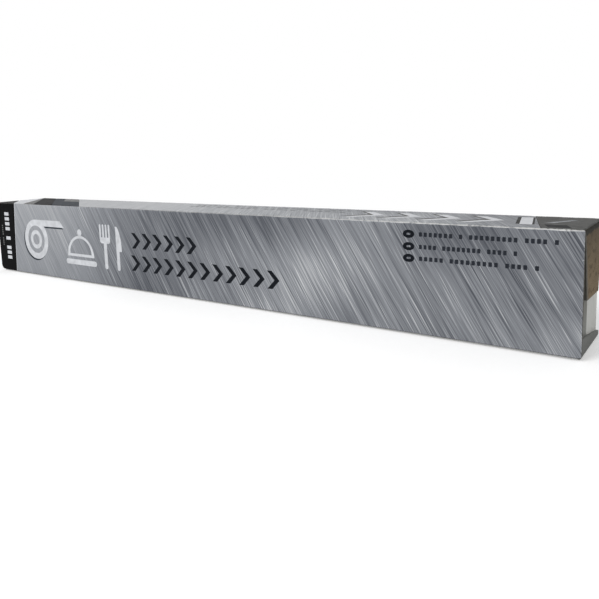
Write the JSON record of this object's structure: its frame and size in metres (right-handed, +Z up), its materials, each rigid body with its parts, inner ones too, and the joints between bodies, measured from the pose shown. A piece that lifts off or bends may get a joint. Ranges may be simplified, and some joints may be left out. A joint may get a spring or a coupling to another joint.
{
  "type": "aluminium foil dispenser box",
  "caption": "Long folded box that holds a roll of catering foil, with a hinged lid, a front flap carrying a toothed cutter strip, and a short wing at each end.",
  "frame": {"origin": "middle of the closed box's footprint, on the surface it stands on", "axes": "+X along the box, +Y from the printed front to the back wall with the lid's fold, +Z up"},
  "size_m": [0.464, 0.046, 0.0584],
  "materials": {
    "printed_board": "silver-grey print with diagonal streaks, satin varnish",
    "kraft_board": "bare brown kraft liner, matt",
    "foil": "bright rolled foil",
    "core_card": "spiral-wound brown card, matt",
    "cutter_steel": "cold-rolled strip with stamped teeth"
  },
  "bodies": {
    "tray": {"tray": "printed_board", "foil_roll": "foil", "core_tube": "core_card"},
    "lid": {"lid": "printed_board"},
    "front_flap": {"front_flap": "printed_board", "cutter_strip": "cutter_steel"},
    "left_wing": {"left_wing": "kraft_board"},
    "right_wing": {"right_wing": "kraft_board"}
  },
  "joints": [
    {"name": "lid_fold", "type": "hinge", "parent": "tray", "child": "lid", "pos_m": [0, 0.02265, 0.05805], "axis": [-1, 0, 0], "range_deg": [0, 180]},
    {"name": "front_flap_fold", "type": "hinge", "parent": "lid", "child": "front_flap", "pos_m": [0, -0.02265, 0.05805], "axis": [-1, 0, 0], "range_deg": [0, 90]},
    {"name": "left_wing_fold", "type": "hinge", "parent": "lid", "child": "left_wing", "pos_m": [-0.23165, 0, 0.05805], "axis": [0, 1, 0], "range_deg": [0, 90]},
    {"name": "right_wing_fold", "type": "hinge", "parent": "lid", "child": "right_wing", "pos_m": [0.23165, 0, 0.05805], "axis": [0, -1, 0], "range_deg": [0, 90]}
  ]
}
